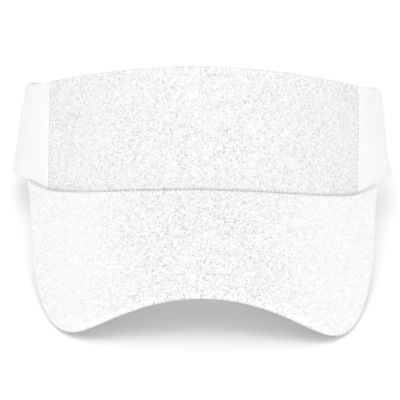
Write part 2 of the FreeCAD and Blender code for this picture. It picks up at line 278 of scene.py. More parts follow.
def mesh_object(name, vertices, faces, uvs=None):
    mesh = bpy.data.meshes.new(name)
    mesh.from_pydata([tuple(p) for p in to_row(vertices)], [], faces)
    if uvs is not None:
        layer = mesh.uv_layers.new(name="Cloth")
        loops = np.empty(len(mesh.loops), int)
        mesh.loops.foreach_get("vertex_index", loops)
        layer.data.foreach_set("uv", np.asarray(uvs, np.float32)[loops].ravel())
    mesh.validate()
    mesh.shade_smooth()
    mesh.set_sharp_from_angle(angle=math.radians(SHARP_ANGLE))
    made = bpy.data.objects.new(name, mesh)
    bpy.context.scene.collection.objects.link(made)
    return made


def shell(name, outer, inner, uv):
    """A closed thin solid between two grids of points, joined round all four edges."""
    n, k = outer.shape[:2]
    size = n * k
    faces = []
    for i in range(n - 1):
        for j in range(k - 1):
            a, b = i * k + j, (i + 1) * k + j
            faces.append((a, b, b + 1, a + 1))
            faces.append((a + size, a + 1 + size, b + 1 + size, b + size))
    for i in range(n - 1):
        a, b = i * k, (i + 1) * k
        faces.append((a, a + size, b + size, b))
        a, b = a + k - 1, b + k - 1
        faces.append((a, b, b + size, a + size))
    for j in range(k - 1):
        faces.append((j, j + 1, j + 1 + size, j + size))
        a = (n - 1) * k + j
        faces.append((a, a + size, a + 1 + size, a + 1))
    vertices = np.concatenate([outer.reshape(-1, 3), inner.reshape(-1, 3)])
    flat = uv.reshape(-1, 2)
    made = mesh_object(name, vertices, faces, np.concatenate([flat, flat]))
    face_outwards(made)
    return made


def face_outwards(piece):
    """Turns a closed mesh right side out if its volume is negative."""
    mesh = piece.data
    mesh.calc_loop_triangles()
    points = np.empty(len(mesh.vertices) * 3)
    mesh.vertices.foreach_get("co", points)
    points = points.reshape(-1, 3)
    corners = np.empty(len(mesh.loop_triangles) * 3, int)
    mesh.loop_triangles.foreach_get("vertices", corners)
    a, b, c = (points[corners.reshape(-1, 3)[:, i]] for i in range(3))
    if (a * np.cross(b, c)).sum() < 0:
        mesh.flip_normals()


def edge_dip(distance, radius=SEAM_ROLL):
    """How far a cloth sinks at that distance from a seam: a quarter circle."""
    near = np.clip(distance, 0, radius)
    return radius - np.sqrt(radius ** 2 - (radius - near) ** 2)


def edge_steps(radius=SEAM_ROLL, count=6):
    """Distances from an edge that follow its quarter circle evenly."""
    return radius * (1 - np.cos(np.linspace(0, math.pi / 2, count)))


def hem_profile(low, high, rows):
    """Heights and depths, outer skin and inner skin, of a cloth that rises from a rolled lower
    edge, turns over the top and runs down inside. low and high are columns of heights."""
    radius = HEM_FOLD / 2
    roll = edge_steps()
    turn = np.linspace(0, math.pi, 13)[1:]
    rise = np.linspace(0, 1, rows)[1:]
    down = np.linspace(0, 1, 6)[1:]
    z_out = [low + roll, low + SEAM_ROLL + (high - radius - low - SEAM_ROLL) * rise,
             high - radius + radius * np.sin(turn), high - radius - (HEM_TURN - radius) * down]
    z_in = [low + CLOTH + roll * (1 - CLOTH / SEAM_ROLL), z_out[1],
            high - radius + (radius - CLOTH) * np.sin(turn), z_out[3]]
    d_out = [edge_dip(roll), 0 * rise, radius - radius * np.cos(turn), HEM_FOLD + 0 * down]
    d_in = [CLOTH + edge_dip(roll) * (1 - CLOTH / SEAM_ROLL), CLOTH + 0 * rise,
            radius - (radius - CLOTH) * np.cos(turn), HEM_FOLD - CLOTH + 0 * down]
    z_out, z_in = np.concatenate(z_out, 1), np.concatenate(z_in, 1)
    return z_out, z_in, np.concatenate(d_out), np.concatenate(d_in)


def hemmed_panel(name, columns, start, end, rows, swell, seed):
    """A band panel with a turned top. columns are (share, offset): each column's run is
    start + (end - start) * share + offset, and start and end may depend on height."""
    share, offset = np.array(columns).T[..., None]
    middle = 20.0              # a height at which the panel has its usual width
    rough = start(middle) + (end(middle) - start(middle)) * share + offset
    low, high = bottom(rough), top(rough)
    z_out, z_in, d_out, d_in = hem_profile(low, high, rows)
    at_edge = (share == 0) | (share == 1)
    dip = edge_dip(np.where(at_edge, np.abs(offset), FAR)) * np.clip(1 - d_out / HEM_FOLD, 0, 1)
    grids = []
    for z, depth in ((z_out, d_out), (z_in, d_in)):
        clip_z = np.clip(z, low, high)
        run = start(clip_z) + (end(clip_z) - start(clip_z)) * share + offset
        fade = np.clip((high - z) / SWELL_FADE, 0, 1) * np.clip((z - low) / SWELL_FADE, 0, 1)
        wave = swell * ripple(run, clip_z, SWELL_LENGTH, seed) * fade
        grids.append(band(run, z, depth + dip - wave * (depth < 1)))
    along = start(z_out) + (end(z_out) - start(z_out)) * share + offset
    climb = np.hypot(np.diff(z_out, axis=1, prepend=z_out[:, :1]), np.gradient(d_out)[None, :])
    height = np.cumsum(climb, 1)
    return shell(name, grids[0], grids[1], np.stack([along, height + low], -1))


def panel_columns(span, pitch):
    """(share, offset) pairs across a panel about span wide, closer together at its rolled edges."""
    rim = edge_steps()
    first = [(0.0, d) for d in rim]
    last = [(1.0, -d) for d in rim[::-1]]
    inset = 1.5 / span
    return first + [(s, 0.0) for s in steps(inset, 1 - inset, pitch / span)] + last


def band_shell(name, run, z, face, back):
    """A thin solid on the band between the depths face and back."""
    run = np.broadcast_to(run, z.shape)
    return shell(name, band(run, z, face), band(run, z, back), np.stack([run, z], -1))


def layer(name, run0, run1, low, high, depths, pitch=2.0, rows=16):
    """A plain layer of the band between two runs, heights as functions of the run, and depths."""
    share = steps(0, 1, pitch / abs(run1 - run0))[:, None]
    run = run0 + (run1 - run0) * share
    z = low(run) + (high(run) - low(run)) * np.linspace(0, 1, rows)
    return band_shell(name, run, z, *depths)


# ---- thread ----
SEAM_STITCH = {"pitch": 2.1, "length": 1.25, "thick": 0.5, "proud": 0.1}
STITCH_SIDES, STITCH_RINGS = 6, 5
STITCH_TAPER = 0.45        # how thick a stitch's ends are, as a share of its middle
STITCH_SINK = 0.4          # how deep its ends go in, as a share of its thickness


def gone_to(points):
    """How far along a line each of its points lies."""
    return np.concatenate([[0], np.cumsum(np.linalg.norm(np.diff(points, axis=0), axis=1))])


def point_at(at, gone, points):
    """The point, or points, at a distance along a line."""
    return np.stack([np.interp(at, gone, column) for column in points.T], -1)


def tube_faces(base, rings, sides):
    """The faces of a closed tube whose rings of points start at index base."""
    faces = []
    for low in range(base, base + (rings - 1) * sides, sides):
        for a in range(sides):
            b = (a + 1) % sides
            faces.append((low + a, low + b, low + sides + b, low + sides + a))
    last = base + (rings - 1) * sides
    return faces + [tuple(range(base, base + sides))[::-1], tuple(range(last, last + sides))]


def stitch_row(name, points, normals, pitch=2.9, length=2.3, thick=0.36, proud=0.14, thread=None):
    """One mesh of separate stitches lying along a line: each a thread that dips in at both ends."""
    points, normals = np.asarray(points, float), np.asarray(normals, float)
    gone = gone_to(points)
    count = int(gone[-1] // pitch)
    vertices, faces = [], []
    step = 0.2
    for m in range(count):
        middle = (m + 0.5) * gone[-1] / count
        faces += tube_faces(len(vertices), STITCH_RINGS, STITCH_SIDES)
        for r in range(STITCH_RINGS):
            share = r / (STITCH_RINGS - 1)
            at = middle + (share - 0.5) * length
            normal = point_at(at, gone, normals)
            normal /= np.linalg.norm(normal)
            ahead = point_at(at + step, gone, points) - point_at(at - step, gone, points)
            ahead /= np.linalg.norm(ahead)
            across = np.cross(normal, ahead)
            arch = math.sin(math.pi * share)
            radius = thick / 2 * (STITCH_TAPER + (1 - STITCH_TAPER) * arch)
            rise = proud * arch - thick * STITCH_SINK * (1 - arch)
            centre = point_at(at, gone, points) + normal * rise
            for a in range(STITCH_SIDES):
                angle = 2 * math.pi * a / STITCH_SIDES
                vertices.append(centre + radius * (across * math.cos(angle) + normal * math.sin(angle)))
    made = mesh_object(name, np.array(vertices), faces, np.array(vertices)[:, :2])
    made.data.materials.append(thread or THREAD)
    return made


def band_stitches(name, runs, height, depth, facing, **how):
    """Stitches along the band at a height that depends on the run; facing is 1 outwards, -1 inwards."""
    z = height(runs)
    points = band(runs, z, depth)
    return stitch_row(name, points, facing * (band(runs, z, depth - 1) - points), **how)


# ---- materials ----
SLOW, DRIFT, LOOSE = 0.06, 0.17, 0.5       # noise cells per millimetre of cloth
WANDER = 0.7                               # how far a thread wanders, in millimetres
THREAD_STEP, THREAD_START = 7.31, 0.37     # where each thread's own shade lies in the noise
SLUB = (0.48, 0.70)                        # noise at which a thread is dull: not at all, fully


class Nodes:
    """A short way to write a material's nodes."""

    def __init__(self, name, colour, roughness, specular=0.25):
        self.material = bpy.data.materials.new(name)
        self.material.use_nodes = True
        tree = self.material.node_tree
        self.add = tree.nodes.new
        self.link = tree.links.new
        self.shader = tree.nodes["Principled BSDF"]
        self.shader.inputs["Base Color"].default_value = (*colour, 1)
        self.shader.inputs["Roughness"].default_value = roughness
        self.shader.inputs["Specular IOR Level"].default_value = specular

    def put(self, value, socket):
        if isinstance(value, bpy.types.NodeSocket):
            self.link(value, socket)
        else:
            socket.default_value = value

    def math(self, operation, a, b=0.0):
        node = self.add("ShaderNodeMath")
        node.operation = operation
        for value, socket in zip((a, b), node.inputs):
            self.put(value, socket)
        return node.outputs[0]

    def times(self, a, b):
        return self.math("MULTIPLY", a, b)

    def plus(self, a, b):
        return self.math("ADD", a, b)

    def uv(self):
        """Distances across and along the cloth, in millimetres."""
        node = self.add("ShaderNodeUVMap")
        node.uv_map = "Cloth"
        parts = self.add("ShaderNodeSeparateXYZ")
        self.link(node.outputs[0], parts.inputs[0])
        return parts.outputs[0], parts.outputs[1]

    def place(self, scale):
        """The point's place in its own object, scaled, for pieces with no cloth map."""
        node = self.add("ShaderNodeTexCoord")
        scaled = self.add("ShaderNodeVectorMath")
        scaled.operation = "SCALE"
        scaled.inputs[3].default_value = scale
        self.link(node.outputs["Object"], scaled.inputs[0])
        return scaled.outputs[0]

    def noise(self, x, y, z=0.0, detail=2.0, rough=0.5, vector=None):
        node = self.add("ShaderNodeTexNoise")
        node.inputs["Scale"].default_value = 1.0
        node.inputs["Detail"].default_value = detail
        node.inputs["Roughness"].default_value = rough
        if vector is None:
            joined = self.add("ShaderNodeCombineXYZ")
            for value, socket in zip((x, y, z), joined.inputs):
                self.put(value, socket)
            vector = joined.outputs[0]
        self.link(vector, node.inputs["Vector"])
        return node.outputs[0]

    def ramp(self, value, low, high, out_low=0.0, out_high=1.0):
        node = self.add("ShaderNodeMapRange")
        node.interpolation_type = "SMOOTHSTEP"
        for number, socket in zip((value, low, high, out_low, out_high), node.inputs):
            self.put(number, socket)
        return node.outputs[0]

    def tint(self, colour, brightness):
        """The colour, brightened or darkened from place to place."""
        node = self.add("ShaderNodeVectorMath")
        node.operation = "SCALE"
        node.inputs[0].default_value = colour
        self.link(brightness, node.inputs[3])
        self.link(node.outputs[0], self.shader.inputs["Base Color"])

    def bump(self, height, distance):
        node = self.add("ShaderNodeBump")
        node.inputs["Strength"].default_value = 1.0
        node.inputs["Distance"].default_value = distance
        self.link(height, node.inputs["Height"])
        self.link(node.outputs[0], self.shader.inputs["Normal"])

    def sheen(self, weight, roughness=0.5):
        self.shader.inputs["Sheen Weight"].default_value = weight
        self.shader.inputs["Sheen Roughness"].default_value = roughness


def threads(n, along, across, pitch, seed):
    """One set of threads: the rounded rise of each, its side of the weave and its shade."""
    side = n.math("SINE", n.times(across, math.pi / pitch))
    index = n.math("FLOOR", n.times(across, 1 / pitch))
    own = n.plus(n.times(index, THREAD_STEP), THREAD_START)
    shade = n.noise(own, n.times(along, LOOSE), seed, 1.0)
    return n.math("ABSOLUTE", side), side, n.ramp(shade, *SLUB)


def woven(name, colour, pitch, uneven, gap_shade, relief, sheen=0.25, painted_light_past=None):
    """Plain weave. uneven is how much darker the duller threads are, the gap shade how dark the gaps
    between threads are painted as shade, and relief how deep the weave is, in metres. The first two
    fade round the painted-light distance, in millimetres either side of the middle: painted light, sides
    lighter."""
    n = Nodes(name, colour, 0.92)
    u, v = n.uv()
    slow_u, slow_v = n.times(u, SLOW), n.times(v, SLOW)
    thread_u = n.plus(u, n.times(n.noise(n.times(u, DRIFT), slow_v), WANDER))
    thread_v = n.plus(v, n.times(n.noise(slow_u, n.times(v, DRIFT), 5.0), WANDER))
    warp_rise, warp_side, warp_shade = threads(n, v, thread_u, pitch, 1.0)
    weft_rise, weft_side, weft_shade = threads(n, u, thread_v, pitch, 2.0)
    over = n.ramp(n.times(warp_side, weft_side), -0.12, 0.12)
    under = n.math("SUBTRACT", 1.0, over)
    rise = n.plus(n.times(warp_rise, over), n.times(weft_rise, under))
    shade = n.plus(n.times(warp_shade, over), n.times(weft_shade, under))
    # the holes where threads part; darkening them below is painted shade
    hole = n.ramp(n.plus(warp_rise, weft_rise), 0.25, 0.75, 1.0, 0.0)
    spread = n.noise(n.times(u, LOOSE), n.times(v, LOOSE), 3.0, 1.0)
    loose = n.ramp(spread, 0.45, 0.70, 0.15, 1.0)
    # the duller threads' own tone, plus painted shade in the holes
    dark = n.plus(n.times(shade, uneven), n.times(n.times(hole, loose), gap_shade))
    # broad patches where the weave shows stronger or fainter, the cloth's own tone
    patches_and_side_light = n.ramp(n.noise(slow_u, slow_v, 4.0, 1.0), 0.3, 0.7, 0.85, 1.15)
    # painted light: on the brim the weave's darkening fades towards the sides, so they are drawn
    # lighter, as light fell on them
    if painted_light_past is not None:
        fade = n.ramp(n.math("ABSOLUTE", u), painted_light_past * 0.6, painted_light_past * 1.8, 1.0, 0.45)
        patches_and_side_light = n.times(patches_and_side_light, fade)
    n.tint(colour, n.math("SUBTRACT", 1.0, n.times(dark, patches_and_side_light)))
    n.bump(n.math("SUBTRACT", rise, n.times(hole, 0.5)), relief)
    n.sheen(sheen)
    return n.material


def towelling(name, colour):
    """Looped towelling: rows of small loops."""
    n = Nodes(name, colour, 0.95)
    u, v = n.uv()
    pitch = 1.3
    loops = n.noise(n.times(u, pitch), n.times(v, pitch), 0.0, 3.0, 0.7)
    rows = n.math("ABSOLUTE", n.math("SINE", n.times(v, math.pi / pitch)))
    knots = n.ramp(n.plus(loops, n.times(rows, 0.12)), 0.42, 0.72)
    n.tint(colour, n.plus(0.86, n.times(knots, 0.16)))
    n.bump(knots, 0.0005)
    n.sheen(0.5, 0.6)
    return n.material


def brushed_loops(name, colour):
    """The loop side of a hook-and-loop closure: a brushed nylon pile."""
    n = Nodes(name, colour, 0.8)
    u, v = n.uv()
    hairs = n.noise(n.times(u, 3.1), n.times(v, 1.7), 0.0, 4.0, 0.75)
    tufts = n.ramp(hairs, 0.35, 0.7)
    n.tint(colour, n.plus(0.84, n.times(tufts, 0.18)))
    n.bump(tufts, 0.0004)
    n.sheen(0.6, 0.4)
    return n.material


def smooth(name, colour, roughness, grain, relief, specular=0.3):
    """Plastic, foam or thread: fine grain that needs no cloth map."""
    n = Nodes(name, colour, roughness, specular)
    speckle = n.noise(0, 0, detail=4.0, rough=0.6, vector=n.place(grain))
    n.tint(colour, n.ramp(speckle, 0.2, 0.8, 0.93, 1.03))
    n.bump(speckle, relief)
    return n.material


LINEN = woven("slub linen", (0.905, 0.905, 0.903), pitch=0.50, uneven=0.37, gap_shade=0.7, relief=0.00010)
# linen for the brim, its sides painted lighter as painted light
BRIM_LINEN_LIT_SIDES = woven("slub linen on the brim, sides painted lighter", (0.93, 0.93, 0.928), pitch=0.50, uneven=0.44, gap_shade=0.8,
                   relief=0.00010, painted_light_past=34.0)
COTTON = woven("fine cotton", (0.90, 0.90, 0.90), pitch=0.36, uneven=0.06, gap_shade=0.10, relief=0.00005)
LINING = woven("lining cotton", (0.93, 0.93, 0.92), pitch=0.5, uneven=0.08, gap_shade=0.2, relief=0.00008)
BUCKRAM = smooth("buckram", (0.78, 0.77, 0.73), 0.9, grain=900.0, relief=0.0002)
TOWEL = towelling("cotton towelling", (0.94, 0.94, 0.93))
FOAM = smooth("foam", (0.82, 0.81, 0.76), 0.95, grain=1400.0, relief=0.0002)
TAPE = woven("cotton tape", (0.93, 0.93, 0.925), pitch=0.7, uneven=0.08, gap_shade=0.2, relief=0.00012)
SATIN = woven("label satin", (0.95, 0.95, 0.95), pitch=0.22, uneven=0.03, gap_shade=0.05, relief=0.00003,
              sheen=0.6)
THREAD = smooth("polyester thread", (0.90, 0.90, 0.90), 0.6, grain=2500.0, relief=0.00005)
# stitch rows in the seams: darker grey thread, painting the shade of the seam groove and needle holes
SEAM_THREAD_AND_SHADE = smooth("seam thread darkened as painted groove shade", (0.62, 0.62, 0.61), 0.8, grain=2500.0, relief=0.00005,
                     specular=0.1)
BOARD = smooth("moulded board", (0.85, 0.85, 0.85), 0.45, grain=300.0, relief=0.00005, specular=0.5)
HOOKS = smooth("nylon hooks", (0.87, 0.87, 0.87), 0.4, grain=2500.0, relief=0.00003, specular=0.5)
PILE = brushed_loops("nylon loops", (0.88, 0.88, 0.88))


def finish_piece(piece, material, slot, *nodes):
    """Gives a piece its material, and hides the plain solids that it stands for. slot is not used."""
    if not piece.data.materials:
        piece.data.materials.append(material)
    if nodes:
        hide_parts(*nodes)


# ---- cloth at the joints, baked in place, not bent ----
HINGE_SPREAD = 11.0        # how far either side of a side hinge the cloth would bend over; no bending is done


def bend_side(piece):
    """Cloth that runs past the side hinge: its transform is baked in, and it is not bent."""
    angle = math.radians(HINGE_AT)
    tangent = np.array([HALF_WIDTH * math.cos(angle), FRONT_REACH * math.sin(angle), 0.0])
    tangent *= HINGE_SPREAD / np.linalg.norm(tangent)
    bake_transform(piece)


def bend_strap(piece):
    """Cloth that runs from a side panel's end into its strap: its transform is baked in, and it is not
    bent.
    """
    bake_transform(piece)


# ---- the band's pieces ----
PANEL_END_RUN = float(run_at_x(PANEL_END_X))
LINING_GAP, LINING_SHORT = 0.2, 1.0      # from the side seam, and from the panel's end
HEM_OVERLAP = 1.5                        # how far the linings run up under the turned hem
SWEAT_BELOW_TOP = 3.5
SWEAT_END_RUN = PANEL_END_RUN - 9.0
SWEAT_END_ROUND = 3.0
SWEAT_GROOVE = 3.2                       # how far each stitched line lies inside its long edge
PAD_START, PAD_FULL = SWEAT_BACK + 0.5, SWEAT_FACE - SWEAT_BACK - 0.6
PAD_RISE, RIM_CROWN = 2.2, 0.35          # length of its rise; fullness of its narrow edge
PUCKER, PUCKER_LENGTH, PUCKER_FADE = 0.12, 7.0, 5.0
FOAM_START, FOAM_INSET, FOAM_END = 0.3, 5.5, 6.0
FOAM_DEPTHS = (SWEAT_BACK + 1.3, SWEAT_BACK + 0.3)
TAPE_HALF, TAPE_THICK, TAPE_DEPTH, TAPE_CROWN = 6.0, 0.35, 2.36, 0.1
TAPE_LAP, TAPE_BELOW_TOP = 1.0, 1.6
TAPE_STEP, TAPE_RAMP = 0.74, 1.5         # its step over the hem, and the step's length
LABEL_HALF, LABEL_DROP, LABEL_LIFT, LABEL_THICK = 17.0, 18.0, 7.5, 0.28
LABEL_GAP, LABEL_HANG, LABEL_WAVE, LABEL_WAVE_LENGTH = 0.12, 0.35, 0.6, 22.0


def make_front_panel():
    piece = hemmed_panel("front_panel_cloth", panel_columns(180, 1.6),
                         lambda z: SEAM_GAP - side_seam(z), lambda z: side_seam(z) - SEAM_GAP,
                         rows=44, swell=0.12, seed=3)
    finish_piece(piece, LINEN, "linen_cloth", "front_panel")
    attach(piece, "front")


def make_side_panels():
    for side, sign in SIDES:
        def seam(z, sign=sign):
            return sign * (side_seam(z) + SEAM_GAP)

        def end(z, sign=sign):
            return sign * PANEL_END_RUN + 0 * z
        columns = [(share, sign * offset) for share, offset in panel_columns(150, 1.8)]
        piece = hemmed_panel(side + "_side_panel_cloth", columns, seam, end, rows=30, swell=0.35,
                             seed=5 if sign > 0 else 6)
        finish_piece(piece, COTTON, "cotton_cloth", side + "_panel_front", side + "_side_panel")
        bend_side(piece)


def hem_line(run):
    return top(run) - HEM_TURN + HEM_OVERLAP


def sweat_low(run):
    return bottom(run) + SWEAT_LIFT


def sweat_high(run):
    return np.minimum(sweat_low(run) + SWEAT_HEIGHT, top(run) - SWEAT_BELOW_TOP)


def make_linings():
    seam_run = float(side_seam(25.0))
    depths = (LINING_DEPTH + LINING_THICK, LINING_DEPTH)
    front = layer("front_lining_cloth", -seam_run, seam_run, sweat_low, hem_line, depths)
    finish_piece(front, LINING, "lining_cloth", "front_lining")
    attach(front, "front")
    for side, sign in SIDES:
        piece = layer(side + "_lining_cloth", sign * (seam_run + LINING_GAP),
                      sign * (PANEL_END_RUN - LINING_SHORT), sweat_low, hem_line, depths)
        finish_piece(piece, LINING, "lining_cloth", side + "_lining_front", side + "_side_lining")
        bend_side(piece)


def pillow(run, z, low, high):
    """Depth of the sweatband's face: padded, pinched along its two stitched lines."""
    inside = np.minimum(z - low, high - z)
    body = 1 - np.exp(-np.maximum(inside - SWEAT_GROOVE, 0) / PAD_RISE)
    rim = np.sqrt(np.clip(1 - (1 - np.clip(inside / SWEAT_GROOVE, 0, 1) * 2) ** 2, 0, 1))
    crown = np.where(inside > SWEAT_GROOVE, RIM_CROWN + (1 - RIM_CROWN) * body,
                     RIM_CROWN * np.maximum(rim, 0.25))
    near_end = np.clip((SWEAT_END_RUN - np.abs(run)) / SWEAT_END_ROUND, 0, 1)
    pucker = PUCKER * ripple(run, 0 * run, PUCKER_LENGTH, 11) * np.exp(-inside / PUCKER_FADE)
    return PAD_START + PAD_FULL * crown * np.sqrt(near_end) + pucker * near_end


def make_sweatband():
    """Towelling over a foam strip, in two halves that meet at the front centre."""
    edge = 0.16                # the share of the height at each long edge with closer rows
    rows = np.concatenate([np.linspace(0, edge, 12), np.linspace(edge, 1 - edge, 24)[1:],
                           np.linspace(1 - edge, 1, 12)[1:]])
    for side, sign in SIDES:
        rounded = SWEAT_END_RUN - edge_steps(SWEAT_END_ROUND)[::-1]
        run = sign * np.concatenate([steps(0, rounded[0], 2.0), rounded[1:]])[:, None]
        low, high = sweat_low(run), sweat_high(run)
        z = low + (high - low) * rows
        cover = band_shell(side + "_sweatband_towelling", run, z, pillow(run, z, low, high), SWEAT_BACK)
        nodes = [side + "_sweatband_cover"] + (["sweatband_cover_front"] if sign > 0 else [])
        finish_piece(cover, TOWEL, "sweat_cloth", *nodes)
        bend_side(cover)
        foam = layer(side + "_sweatband_padding", FOAM_START * sign,
                     sign * (SWEAT_END_RUN - FOAM_END), lambda r: sweat_low(r) + FOAM_INSET,
                     lambda r: sweat_high(r) - FOAM_INSET, FOAM_DEPTHS, pitch=4.0, rows=5)
        nodes = [side + "_sweatband_foam"] + (["sweatband_foam_front"] if sign > 0 else [])
        finish_piece(foam, FOAM, "foam", *nodes)
        bend_side(foam)
        runs = sign * steps(1.5, SWEAT_END_RUN - 2, 1.0)
        for edge, height in (("lower", lambda r: sweat_low(r) + SWEAT_GROOVE),
                             ("upper", lambda r: sweat_high(r) - SWEAT_GROOVE)):
            depth = pillow(runs, height(runs), sweat_low(runs), sweat_high(runs))
            row = band_stitches(f"{side}_sweatband_{edge}_stitches", runs, height, depth, -1)
            bend_side(row)


def make_seam_tapes():
    """Tape over the inside of each side seam, from the sweatband up over the turned hem."""
    for side, sign in SIDES:
        across = np.linspace(-TAPE_HALF, TAPE_HALF, 9)[:, None]
        run = sign * (float(side_seam(40.0)) + across)
        low, high = sweat_high(run) - TAPE_LAP, top(run) - TAPE_BELOW_TOP
        z = low + (high - low) * np.linspace(0, 1, 24)
        lift = np.clip((z - (top(run) - HEM_TURN - TAPE_RAMP)) / TAPE_RAMP, 0, 1)
        crown = TAPE_CROWN * np.cos(across / TAPE_HALF * math.pi / 2)
        depth = TAPE_DEPTH + TAPE_STEP * lift * lift * (3 - 2 * lift) + crown
        piece = band_shell(side + "_seam_tape_cloth", run, z, depth + TAPE_THICK, depth)
        finish_piece(piece, TAPE, "tape", side + "_seam_tape")
        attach(piece, "front")
        for edge, column in (("front", 1), ("rear", -2)):
            line = band(run[column], z[column], depth[column] + TAPE_THICK)
            normal = band(run[column], z[column], depth[column] + TAPE_THICK + 1) - line
            row = stitch_row(f"{side}_seam_tape_stitches_{edge}", line, normal, pitch=2.6, length=2.0)
            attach(row, "front")


def make_care_label():
    """A blank satin label, folded in two and sewn in by its upper edge."""
    run = np.linspace(-LABEL_HALF, LABEL_HALF, 25)[:, None]
    z = sweat_low(run) + LABEL_LIFT + LABEL_DROP * np.linspace(0, 1, 16)
    hang = np.linspace(1, 0, 16)
    wave = 1 + LABEL_WAVE * ripple(run, z, LABEL_WAVE_LENGTH, 21)
    depth = SWEAT_FACE + LABEL_GAP + LABEL_HANG * hang * wave
    piece = band_shell("care_label_satin", run, z, depth + LABEL_THICK, depth)
    finish_piece(piece, SATIN, "label_satin", "care_label")
    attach(piece, "front")
    row = band_stitches("care_label_stitches", steps(-LABEL_HALF + 1, LABEL_HALF - 1, 1.0),
                        lambda r: sweat_low(r) + LABEL_LIFT + LABEL_DROP - 1.2, SWEAT_FACE + 0.5, -1,
                        pitch=2.2, length=1.7)
    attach(row, "front")


# ---- the brim ----
BRIM_COLUMNS = 221
BRIM_FOOT = 1.2            # radius of each cover's edge where it dips into the seam
BRIM_DRAW = 0.06           # how far each cover lies inside the brim's full thickness
BRIM_LEAST, CLOTH_LEAST = 0.07, 0.02       # least heights of a cover's outer and inner skin
BRIM_CLEAR, CLEAR_FADE = 0.35, 2.0         # how far it stands off the front panel at the seam
BRIM_WAVE, BRIM_WAVE_LENGTH, BRIM_WAVE_FADE = 0.10, 30.0, 8.0
STITCH_RISE, STITCH_PROUD, STITCH_END = 1.45, 0.1, 5.0    # of the row in the brim seam


def even_curve(points, count):
    """The same curve with points spread evenly along it."""
    gone = gone_to(points)
    return point_at(np.linspace(0, gone[-1], count), gone, points)


def brim_curves():
    """The brim's outline and its seam line, left to right, as (x, s) points."""
    half = np.array([outline_point(u) for u in np.linspace(0, 1, 400)])
    outline = even_curve(np.concatenate([half * [-1, 1], half[::-1][1:]]), BRIM_COLUMNS)
    run = np.linspace(-1, 1, 400) * END_RUN
    foot = band(run, bottom(run))
    seam = np.stack([foot[:, 0], brim_under_plan(foot[:, 0], foot[:, 1])[0]], -1)
    return outline, even_curve(seam, BRIM_COLUMNS)


def brim_cloth(name, side, cloth_seed):
    """One cover of the brim. side is 1 for the top and -1 for the underside. Its outer edge rolls
    to the middle of the board, where the two covers are sewn, and its inner edge into the seam."""
    outline, seam = brim_curves()
    tangent = np.gradient(outline, axis=0)
    tangent /= np.linalg.norm(tangent, axis=1, keepdims=True)
    line = seam - outline
    length = np.maximum(np.linalg.norm(line, axis=1), 1e-6)
    sine = np.abs(np.cross(line / length[:, None], tangent))
    sine[[0, -1]] = sine[[1, -2]]
    rim = edge_steps(BRIM_HALF, 9)
    foot = edge_steps(BRIM_FOOT, 6)
    inner = np.linspace(0, 1, 46)[1:-1]
    columns = []
    for i in range(BRIM_COLUMNS):
        near = np.minimum(rim / max(sine[i], 0.25), length[i] * np.linspace(0, 0.3, len(rim)))
        far = np.maximum(length[i] - foot[::-1], length[i] * np.linspace(0.7, 1, len(foot)))
        columns.append(np.concatenate([near, near[-1] + (far[0] - near[-1]) * inner, far]))
    along = np.array(columns)
    point = outline[:, None] + line[:, None] / length[:, None, None] * along[..., None]
    x, s = point[..., 0], point[..., 1]
    from_rim = along * sine[:, None]
    from_seam = np.maximum(length[:, None] - along, 0)
    edge = BRIM_HALF - edge_dip(from_rim, BRIM_HALF) - BRIM_DRAW
    fade = np.clip(from_rim / BRIM_WAVE_FADE, 0, 1) * np.clip(from_seam / BRIM_WAVE_FADE, 0, 1)
    wave = BRIM_WAVE * ripple(x, s, BRIM_WAVE_LENGTH, cloth_seed) * fade
    lift = np.maximum(edge, BRIM_LEAST) * (1 - 0.6 * edge_dip(from_seam, BRIM_FOOT) / BRIM_FOOT) + wave
    under = np.maximum(lift - CLOTH, CLOTH_LEAST)
    clear = np.clip(1 - from_seam / CLEAR_FADE, 0, 1) * BRIM_CLEAR
    grid = brim(x, s + clear, side * lift)
    inside = brim(x, s + clear, side * under)
    return shell(name, grid, inside, np.stack([x, s], -1))


def make_brim():
    for name, side, seed, node in (("brim_top_cloth", 1, 31, "brim_top_cover"),
                                   ("brim_under_cloth", -1, 32, "brim_under_cover")):
        piece = brim_cloth(name, side, seed)
        finish_piece(piece, BRIM_LINEN_LIT_SIDES, "linen_cloth", node)
        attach(piece, "front")


def make_brim_seam_stitches():
    """The lock stitches that show as dots down in the seam between brim and front panel, in darker
    thread that paints the shade of the groove and needle holes.
    """
    limit = END_RUN - STITCH_END
    runs = steps(-limit, limit, 1.0)
    z = bottom(runs)
    points = band(runs, z + STITCH_RISE, -STITCH_PROUD)
    outward = band(runs, z, -1) - band(runs, z, 0)
    row = stitch_row("brim_seam_stitches_and_shade", points, outward, thread=SEAM_THREAD_AND_SHADE, **SEAM_STITCH)
    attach(row, "front")


def make_side_seam_stitches():
    """The same, where the front panel meets each side panel."""
    z = steps(-5.5, float(top(side_seam(40.0))) - 2.0, 1.0)
    for side, sign in SIDES:
        run = sign * side_seam(z)
        points = band(run, z, 0.3)
        # darker thread: painted shade of the side seam's groove and needle holes
        row = stitch_row(side + "_side_seam_stitches_and_shade", points, band(run, z, -1.0) - points,
                         thread=SEAM_THREAD_AND_SHADE, **SEAM_STITCH)
        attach(row, "front")


# ---- the closure ----
STRAP_CORNER, STRAP_EDGE = 5.0, 0.7      # radius of its far corners, and of its soft edges
STRAP_FLATTEN = (FLAT_HALF - 4, 10.0)    # where it begins to follow the panel, and over what
GROOVE_AT, GROOVE_WIDTH = 2.2, 0.7       # the stitched groove inside a strap's edge
ROOT_X, ROOT_INSET = 46.5, 2.0
PATCH_INSET, PATCH_STITCH_INSET = 2.0, 3.4
LOOP_PATCH_X, HOOK_PATCH_X = 32.0, TAB_FOLD - 4.5
HOOK_PITCH, HOOK_RADIUS, HOOK_SIDES = 1.35, 0.1, 4
HOOK_BEND = [(0.0, 0.0), (0.0, 0.28), (0.12, 0.46), (0.3, 0.44), (0.36, 0.3)]  # along, out


